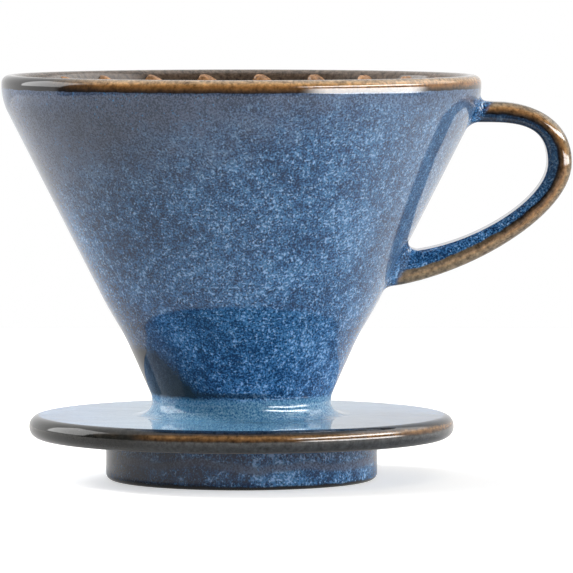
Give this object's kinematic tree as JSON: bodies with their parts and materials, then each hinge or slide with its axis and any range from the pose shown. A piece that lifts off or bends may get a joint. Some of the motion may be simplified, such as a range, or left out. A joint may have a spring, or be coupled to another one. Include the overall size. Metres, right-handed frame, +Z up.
{
  "type": "pour over coffee dripper",
  "caption": "Glazed ceramic cone dripper with spiral ribs inside, an ear-shaped strap handle, a round saucer flange and a foot ring that rests on a mug or server.",
  "frame": {"origin": "on the cone's axis, at the plane that the foot ring rests on", "axes": "+Z up along the cone's axis, +X from the axis to the handle"},
  "size_m": [0.1378, 0.116, 0.098],
  "materials": {
    "cone_glaze": "glossy reactive glaze, speckled navy and light blue, breaking to amber brown on the lip",
    "handle_glaze": "glossy reactive glaze, amber brown on the outer face and navy on the sides",
    "saucer_glaze": "glossy reactive glaze, speckled navy and light blue, breaking to amber brown on the edge",
    "foot_glaze": "glossy reactive glaze, wiped off the bare ring that it stands on",
    "rib_glaze": "glossy reactive glaze, breaking to amber on the crests"
  },
  "bodies": {
    "root": {"cone": "cone_glaze", "saucer": "saucer_glaze", "foot_ring": "foot_glaze", "handle": "handle_glaze", "long_rib_01": "rib_glaze", "long_rib_02": "rib_glaze", "long_rib_03": "rib_glaze", "long_rib_04": "rib_glaze", "long_rib_05": "rib_glaze", "long_rib_06": "rib_glaze", "long_rib_07": "rib_glaze", "long_rib_08": "rib_glaze", "long_rib_09": "rib_glaze", "long_rib_10": "rib_glaze", "long_rib_11": "rib_glaze", "long_rib_12": "rib_glaze", "short_rib_01": "rib_glaze", "short_rib_02": "rib_glaze", "short_rib_03": "rib_glaze", "short_rib_04": "rib_glaze", "short_rib_05": "rib_glaze", "short_rib_06": "rib_glaze", "short_rib_07": "rib_glaze", "short_rib_08": "rib_glaze", "short_rib_09": "rib_glaze", "short_rib_10": "rib_glaze", "short_rib_11": "rib_glaze", "short_rib_12": "rib_glaze"}
  },
  "joints": []
}
